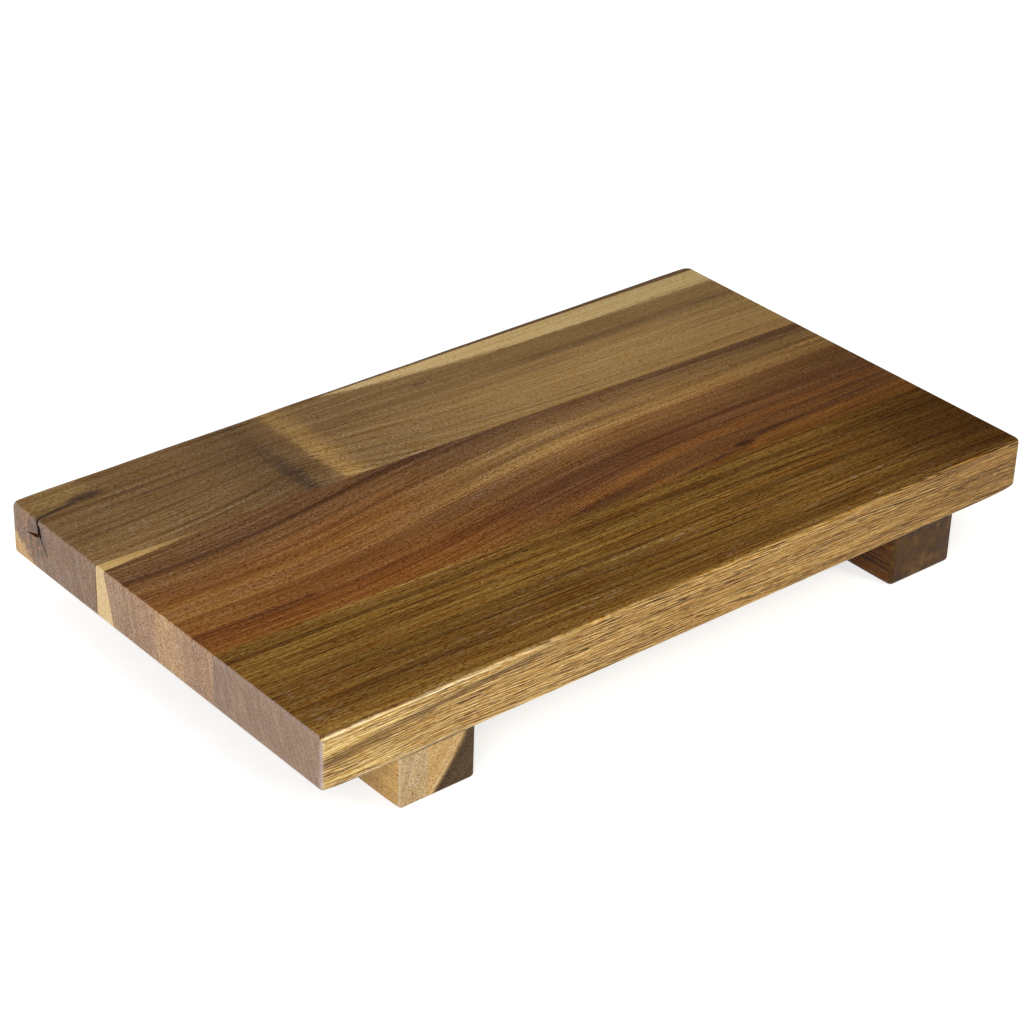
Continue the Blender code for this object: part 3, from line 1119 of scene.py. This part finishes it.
def middle_streaks(grain, s, wander, colour):
    """Lays the middle stave's streaks over its bands."""
    colour = blend(colour, OXBLOOD, grain.streak(wander, 25.8, 25.8, 0.8, OFF_LEFT, 50.0) * 0.6)
    colour = blend(colour, OXBLOOD, grain.streak(wander, 54.2, 54.2, 1.5, OFF_LEFT, 45.0, 8.0) * 0.85)
    colour = blend(colour, PLUM, grain.streak(wander, 15.0, 15.0, 0.9, OFF_LEFT, 130.0) * 0.55)
    colour = blend(colour, PLUM, line(s, 2.7, 1.7) * rise(grain.u, 100.0, 140.0) * 0.40)
    colour = blend(colour, PLUM, line(s, 4.6, 2.4) * between(grain.u, 120.0, 168.0, 18.0) * 0.25)
    colour = blend(colour, ORANGE, grain.streak(wander, 77.8, 63.2, 3.0, 135.0, 235.0) * 0.68)
    colour = streaked(grain, colour, PLUM, wander, PLUM_STREAKS, 9.0)
    colour = streaked(grain, colour, ORANGE, wander, ORANGE_STREAKS)
    gold = grain.streak(wander, 41.4, 41.0, 2.4, 170.0, 275.0)
    colour = blend(colour, tone(158, 118, 66), gold * 0.60)
    pale_gold = grain.streak(wander, 36.6, 36.4, 2.4, 215.0, OFF_RIGHT)
    return blend(colour, tone(150, 112, 62), pale_gold * 0.75)


print("middle stave has", len(PLUM_STREAKS), "plum streaks and", len(ORANGE_STREAKS), "orange ones")

# %% [markdown]
# Two small knots and a wedge of pale sapwood are left. A knot is an ellipse, broken up by the grain so
# that it doesn't look stamped. The wedge lies along the back seam at the left end, wider below than
# above.

# %% Knots and sapwood of the middle stave
FAWN = tone(112, 84, 50)
CREAM = tone(188, 154, 96)
END_SHARES = (0.68, 0.88, 1.65)


def spot(grain, u, v, length, width):
    """1 at a place on the top and 0 outside an ellipse about it."""
    away = ((grain.u - u) / length).squared() + ((grain.v - v) / width).squared()
    return fall(away, 0.1, 1.0)


def middle_knots(grain, colour):
    """The two small knots, one with an orange rim."""
    colour = blend(colour, ORANGE, spot(grain, 224.0, 119.3, 6.0, 1.6) * 0.7)
    colour = blend(colour, OXBLOOD, spot(grain, 43.7, 106.0, 2.6, 1.1) * 0.8)
    knot = spot(grain, 221.0, 116.3, 6.0, 2.2) * (grain.mottle * 0.25 + grain.fibres * 0.3 + 0.7)
    return blend(colour, tone(50, 28, 14), knot)


def sapwood_wedge(grain, s):
    """The wedge's colour, and a value that is 0 in the wedge and 1 outside it."""
    wedge = 4.8 + grain.w * 0.36 - grain.w * grain.w * 0.0045 - grain.u * 0.098 + grain.fibres * 0.25
    outside = rise(s - wedge, -0.3 - grain.end * 0.3, 0.4 + grain.end * 0.4)
    cream = blend(CREAM, tone(124, 96, 58), rise(grain.u, 4.0, 44.0))
    cream = blend(FAWN, exposed(cream, grain.end * 0.6, END_SHARES), rise(s, 0.45, 0.75))
    return cream, outside


print("knots and sapwood ready")

# %% [markdown]
# Now the wood of the middle stave: the bands, then the streaks, the knots and the sapwood, each laid over
# the one before. Its left end is end grain, paler towards the front, and goes on last, because sawn pores
# hide the figure there.

# %% Middle stave
def middle_wood():
    """Wood of the middle stave."""
    grain = Grain("middle_stave_wood")
    s = past_back_seam(grain)
    band = straightened(grain.u, s) - grain.w * 0.22
    grain.weave(band, grain.w, 5.0)
    wander = band + grain.drift * 0.3 + (grain.u - 190.0).most(0.0) * 0.032
    colour = middle_bands(grain, wander)
    colour = middle_streaks(grain, s, wander, colour)
    colour = middle_knots(grain, colour)
    cream, outside = sapwood_wedge(grain, s)
    colour = blend(cream, colour, outside)
    paler = line(s - grain.w * 0.25, 38.0, 14.0)
    cut = blend(tone(161, 128, 95), tone(179, 142, 100), paler)
    colour = blend(colour, cut, grain.end * outside * 0.85)
    depth = outside * (0.75 - rise(grain.u, 100.0, 230.0) * 0.30) + 0.45
    return oil(grain, colour, wear_and_painted_highlight(grain, *BOARD_ENDS), depth)


oiled(middle_stave, middle_wood())

# %% [markdown]
# The back stave is olive brown. A branch once grew beside it, and its bands dip towards a place about a
# third along. Drawing bent bands would need a curve for each. So the dip is taken out of each place
# first, as the swing was, and the figure is drawn on straight bands.

# %% Figure of the back stave
STRAW = tone(147, 116, 72)
SMOKE = tone(73, 56, 41)
DUN = tone(125, 97, 61)
BACK_STREAKS = (
    (18.4, 26.0, 1.2, OFF_LEFT, 82.0, 0.65),
    (23.6, 32.0, 1.0, 10.0, 82.0, 0.65),
    (29.5, 30.0, 0.8, 15.0, 50.0, 0.50),
    (52.0, 52.4, 0.8, 25.0, 84.0, 0.65),
    (44.5, 51.0, 0.8, 98.0, 210.0, 0.60),
    (56.0, 53.0, 0.8, 102.0, 170.0, 0.55),
    (20.5, 22.5, 2.4, 190.0, OFF_RIGHT, 0.55),
    (46.0, 46.3, 0.8, 95.0, 300.0, 0.60),
    (49.5, 49.0, 0.8, 40.0, 85.0, 0.50),
    (34.0, 35.0, 0.7, 170.0, 300.0, 0.40),
    (28.0, 29.0, 1.2, 150.0, 210.0, 0.45),
)


def dipped(u, v):
    """The band that a place in the back stave belongs to, with the dip beside the branch taken out."""
    level = v / (u * (BACK_SEAM_SLOPE / 51.0) + 1.0)
    away = ((u - 88.0).squared() + 90.0).maths("SQRT")
    lift = (away / -38.0).maths("EXPONENT") * 14.0
    return level + lift * rise(level, 0.0, 34.0)


def back_figure(grain, wander):
    """Colours of the back stave's bands and streaks."""
    right = blend(DUN, STRAW, rise(wander, 20.0, 34.0))
    colour = blend(FAWN, right, rise(grain.u, 105.0, 190.0) * 0.55 + rise(grain.u, 96.0, 107.0) * 0.45)
    at_left = rise(wander, 34.0, 50.0) * fall(grain.u, 15.0, 60.0)
    colour = blend(colour, tone(128, 97, 57), at_left * 0.6)
    at_right = rise(wander, 40.0, 52.0) * rise(grain.u, 215.0, 290.0)
    colour = blend(colour, tone(124, 92, 52), at_right * 0.7)
    colour = exposed(colour, rise(grain.u, 235.0, 300.0) * between(wander, 26.0, 40.0, 5.0) * -0.3)
    return streaked(grain, colour, SMOKE, wander, BACK_STREAKS)


print("back stave has", len(BACK_STREAKS), "streaks")

# %% [markdown]
# Where the branch was, a dark shade and a bright gleam stand side by side across the grain: the sheen of
# the fibres that dip there. They are painted into the wood as painted shade and painted highlight, so they
# stay where they are from every side.
# Near the left end a vein and a blotch of the split knot come up to the top. A stripe of sapwood runs
# along the right half of the back edge.

# %% Marks of the back stave
GLEAM = tone(154, 119, 67)
SAPWOOD = tone(188, 160, 110)


def shade_and_gleam(grain, colour):
    """The painted shade and painted highlight: a dark and a bright bar across the grain."""
    across = grain.u + grain.mottle * 1.2 + grain.fibres * 1.6 + grain.hairs * 1.4
    dark_bar = between(across, 82.0, 87.5, 2.4) * (rise(grain.v, 20.0, 42.0) * 0.53 + 0.25)
    dusk = line(across, 80.0, 26.0) * 0.30 + dark_bar
    colour = blend(colour, SMOKE, dusk.least(0.9))
    gleam = rise(across, 95.0, 99.0) * fall(across, 100.0, 111.0) * (rise(grain.v, 10.0, 34.0) * 0.40 + 0.60)
    return blend(colour, GLEAM, gleam)


def small_marks(grain, colour):
    """A pale sliver at the seam, and the knot's vein and blotch in a light corner."""
    sliver = line(past_back_seam(grain), -0.3, 0.9) * between(grain.u, 118.0, 135.0, 6.0)
    colour = blend(colour, SAPWOOD, sliver * 0.25)
    corner = fall(grain.u, 18.0, 30.0) * fall(grain.v, 10.0, 15.0)
    colour = blend(colour, tone(132, 104, 60), corner * 0.85)
    vein = line(grain.v - 16.2 + grain.u * 0.16, 0.0, 1.3) * fall(grain.u, 14.0, 22.0)
    blotch = spot(grain, 20.5, 12.4, 9.0, 2.9) * (grain.fibres * 0.2 + 0.8)
    colour = blend(colour, tone(52, 42, 36), vein.most(blotch) * 0.92)
    return blend(colour, SMOKE, spot(grain, 157.0, 15.8, 4.0, 1.4) * 0.6)


def sapwood_stripe(grain, colour):
    """The colour with the stripe and the dark strip behind it, and a value that is 1 in the stripe."""
    inner = 15.6 - (grain.u / -62.0).maths("EXPONENT") * 95.0 + grain.w * 1.1 + grain.fibres * 0.35
    outer = 2.2 + (grain.u - 125.0) * 0.0104 + grain.w * 0.9
    sap = fall(grain.v - inner + grain.hairs * 0.8, -1.0, 0.8) * rise(grain.v - outer, -0.4, 0.4)
    colour = blend(colour, exposed(SAPWOOD, rise(grain.u, 170.0, 300.0) * -0.22), sap)
    strip = fall(grain.v - outer, -0.2, 0.2) * rise(grain.u, 105.0, 130.0)
    return blend(colour, tone(92, 70, 50), strip * 0.85), sap


print("marks ready")

# %% [markdown]
# The left end of the back stave is end grain around the split knot: grey by the split, brown in patches
# below and behind it, and pale at the heel. The walls inside the splits are darkened as painted shade, a
# few millimetres in from the end, darkest in the long split.

# %% End with the split knot
def spot_on_end(grain, v, w, reach):
    """1 at a place on the left end and 0 from reach away on."""
    away = ((grain.v - v) / reach).squared() + ((grain.w - w) / reach).squared()
    return fall(away, 0.0, 1.0) * fall(grain.u, 2.0, 8.0)


def left_end(grain, colour, sap):
    """Colours of the end grain around the knot."""
    cut = blend(tone(137, 110, 86), tone(106, 91, 77), spot_on_end(grain, 15.0, 7.0, 9.0))
    colour = blend(colour, cut, grain.end * (1.0 - sap) * 0.85)
    ragged = swing(streaks(grain.u, grain.v, grain.w, 20.0, 2.2, 2.0), 0.16)
    heel = rise(grain.w - 8.8 - grain.v * 0.62 + ragged * 1.3, -1.0, 1.4) * fall(grain.u, 20.0, 60.0)
    colour = blend(colour, tone(190, 150, 96), heel)
    brown = spot_on_end(grain, 14.0, 11.0, 7.5).most(spot_on_end(grain, 10.0, 2.5, 5.5))
    return blend(colour, tone(158, 116, 82), brown * rise(ragged, -0.3, 0.5) * grain.end * 0.8)


def painted_split_shade(grain, colour):
    """Painted shade on the walls inside the two splits, along the lines of the blades."""
    long_split = grain.v - 16.6 - grain.w * 0.25 - (grain.w - 5.0).most(0.0) * 0.42
    gape = fall(grain.w, 4.5, 7.0) * 0.8 + 0.45
    inside = fall(abs(long_split) / gape, 0.9, 1.2) * fall(grain.w, 10.5, 12.5)
    short_split = grain.w - 8.2 + (grain.v - 9.2) * 0.38
    hollow = fall(abs(short_split), 0.9, 1.2) * between(grain.v, 9.0, 17.0, 0.6)
    sunk = rise(grain.u, 0.05, 0.25) * fall(grain.u, 4.0, 6.0) * rise(grain.w, 0.1, 0.4)
    colour = blend(colour, tone(92, 54, 32), hollow * sunk)
    return blend(colour, tone(24, 15, 11), inside * sunk)


print("end ready")

# %% [markdown]
# Now the wood of the back stave, from its bands to its splits, each laid over the one before. The order
# is the order of age: the bands grew first, the knot changed them, and the splits came last. The grain is
# shallower at the right, where the stave is smoother.

# %% Back stave
def back_wood():
    """Wood of the back stave."""
    grain = Grain("back_stave_wood")
    band = dipped(grain.u, grain.v) - grain.w * 0.3
    grain.weave(band, grain.w, 7.0)
    colour = back_figure(grain, band + grain.drift * 0.3)
    colour = shade_and_gleam(grain, colour)
    colour = small_marks(grain, colour)
    colour, sap = sapwood_stripe(grain, colour)
    colour = left_end(grain, colour, sap)
    colour = painted_split_shade(grain, colour)
    depth = 1.05 - rise(grain.u, 100.0, 200.0) * 0.50 - sap * 0.15
    return oil(grain, colour, wear_and_painted_highlight(grain, *BOARD_ENDS), depth)


oiled(back_stave, back_wood())

# %% [markdown]
# The feet are offcuts of the same wood, so each strip has its own colour. The left foot is pale sapwood:
# its outer strip is tan, and its inner strip is orange tan and turns to dark heartwood at a slant. The
# fronts are end grain, where the pores are dots. The staves' woods could serve here too, but their bands
# would run the wrong way, so the feet have a grain from front to back. Along the joint under the board,
# the top of each strip is darkened as painted shade.

# %% Left foot
BISCUIT = tone(164, 138, 98)
APRICOT = tone(170, 137, 85)
BARK = tone(62, 43, 19)
LEFT_ENDS = ((0.0, 2 * HALF_FOOT), (-120.4, -91.4), (0.0, 40.0))
FOOT_EDGE_REACH = 1.0


def painted_joint_shade(grain, colour):
    """Paints shade along the top of a strip, in the joint under the board."""
    return blend(colour, tone(40, 26, 9), rise(grain.w, 18.7, 19.2) * 0.9)


def foot_wood(name, seed, lean):
    """The grain of a strip of a foot: its bands lean over by that much for each millimetre of height."""
    grain = Grain(name, "Y")
    grain.weave(grain.v - grain.w * lean, grain.w, seed)
    return grain


def left_outer_wood():
    """Pale tan sapwood."""
    grain = foot_wood("left_outer_wood", 11.0, 0.3)
    colour = blend(tone(187, 148, 87), BISCUIT, grain.end)
    depth = grain.end * 0.35 + 0.60
    edge = wear_and_painted_highlight(grain, *LEFT_ENDS, FOOT_EDGE_REACH)
    # lift lightens its edges, partly for wear and partly as a painted highlight on the upright edge
    return oil(grain, painted_joint_shade(grain, colour), edge, depth, lift=0.45, lines=0.3)


def left_inner_wood():
    """Orange tan sapwood, and heartwood on the far side of a slanting line."""
    grain = foot_wood("left_inner_wood", 13.0, 0.69)
    bow = (grain.w - 10.0).squared() * 0.008
    heart = grain.v - grain.w * 0.69 + 107.7 + bow + grain.u * 0.02 + grain.fibres * 0.25
    colour = blend(APRICOT, tone(190, 158, 110), line(heart, -0.9, 1.4) * 0.6)
    colour = blend(colour, BARK, rise(heart, -1.3, 1.9))
    colour = blend(colour, tone(72, 52, 28), rise(heart, 1.5, 6.0) * 0.5)
    depth = grain.end * 0.70 + 0.25 + rise(heart, 0.0, 2.0) * 0.5
    return oil(grain, painted_joint_shade(grain, colour), wear_and_painted_highlight(grain, *LEFT_ENDS, FOOT_EDGE_REACH), depth, lines=0.3)


oiled(left_outer_strip, left_outer_wood())
oiled(left_inner_strip, left_inner_wood())

# %% [markdown]
# The right foot is heartwood throughout. Its long sides are streaked red brown and nearly black, and its
# front is clouded, lighter here and darker there. One function makes both strips, with another seed and
# base colour for each, because they are cut from one piece.

# %% Right foot
COFFEE = tone(68, 44, 15)
WALNUT = tone(66, 43, 20)
RIGHT_ENDS = ((0.0, 2 * HALF_FOOT), (91.4, 120.4), (0.0, 40.0))


def right_wood(name, seed, base):
    """Dark heartwood, redder on its long sides than on its ends."""
    grain = foot_wood(name, seed, 0.4)
    lines = rise(streaks(grain.u, grain.v, grain.w, 40.0, 1.1), 0.48, 0.60)
    side = blend(tone(92, 54, 14), tone(38, 22, 8), lines * 0.8)
    cloud = swing(streaks(grain.u, grain.v, grain.w, 60.0, 6.5, 4.0, 0.65), 0.13)
    cut = blend(base, tone(94, 68, 33), rise(cloud, 0.0, 1.0) * 0.65)
    cut = blend(cut, tone(42, 31, 25), fall(cloud, -1.0, 0.0) * 0.65)
    colour = blend(side, cut, grain.end)
    edge = wear_and_painted_highlight(grain, *RIGHT_ENDS, FOOT_EDGE_REACH)
    return oil(grain, painted_joint_shade(grain, colour), edge, 0.9, lift=0.05, shine=0.05)


oiled(right_inner_strip, right_wood("right_inner_wood", 17.0, COFFEE))
oiled(right_outer_strip, right_wood("right_outer_wood", 19.0, WALNUT))

# %% [markdown]
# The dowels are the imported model's own solids, because a bought dowel is just that shape. They only need
# their wood: pale, straight and bare, a little darker on the sawn ends. It is the same grain, set upright
# and left without a polished edge.

# %% Dowels
def dowel_wood():
    """Bare pale beech-like wood with its grain upright."""
    grain = Grain("dowel_wood_bare", "Z")
    grain.weave(grain.v, grain.w, 23.0)
    colour = blend(tone(196, 166, 124), tone(176, 142, 98), rise(grain.bands, -0.4, 0.9))
    colour = blend(colour, tone(168, 138, 100), grain.end * 0.7)
    return oil(grain, colour, grain.end * 0.0, 0.6, 0.55)


bare_wood = dowel_wood()
for name in DOWELS:
    bpy.data.objects[name].data.materials.clear()
    bpy.data.objects[name].data.materials.append(bare_wood)
print(len(DOWELS), "dowels finished")

# %% [markdown]
# Last, each piece takes the place of the solid that it stands for, which is hidden, and is attached to the
# body that it rides on. Smooth shading hides the facets of the round-overs, but it would also smear light
# across the square glued edges. So edges that turn sharply stay sharp.

# %% Dress
SHARP_TURN = math.radians(32.0)
PIECES = (
    (back_stave, "stave_back", "stave_back_wood"),
    (middle_stave, "stave_middle", "stave_middle_wood"),
    (front_stave, "stave_front", "stave_front_wood"),
    (left_outer_strip, "foot_left_outer", "foot_left_outer_wood"),
    (left_inner_strip, "foot_left_inner", "foot_left_inner_wood"),
    (right_inner_strip, "foot_right_inner", "foot_right_inner_wood"),
    (right_outer_strip, "foot_right_outer", "foot_right_outer_wood"),
)
for piece, node, slot in PIECES:
    piece.data.polygons.foreach_set("use_smooth", [True] * len(piece.data.polygons))
    piece.data.set_sharp_from_angle(angle=SHARP_TURN)
    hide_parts(node)
    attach(piece, "root")
print("dressed", len(PIECES), "pieces")
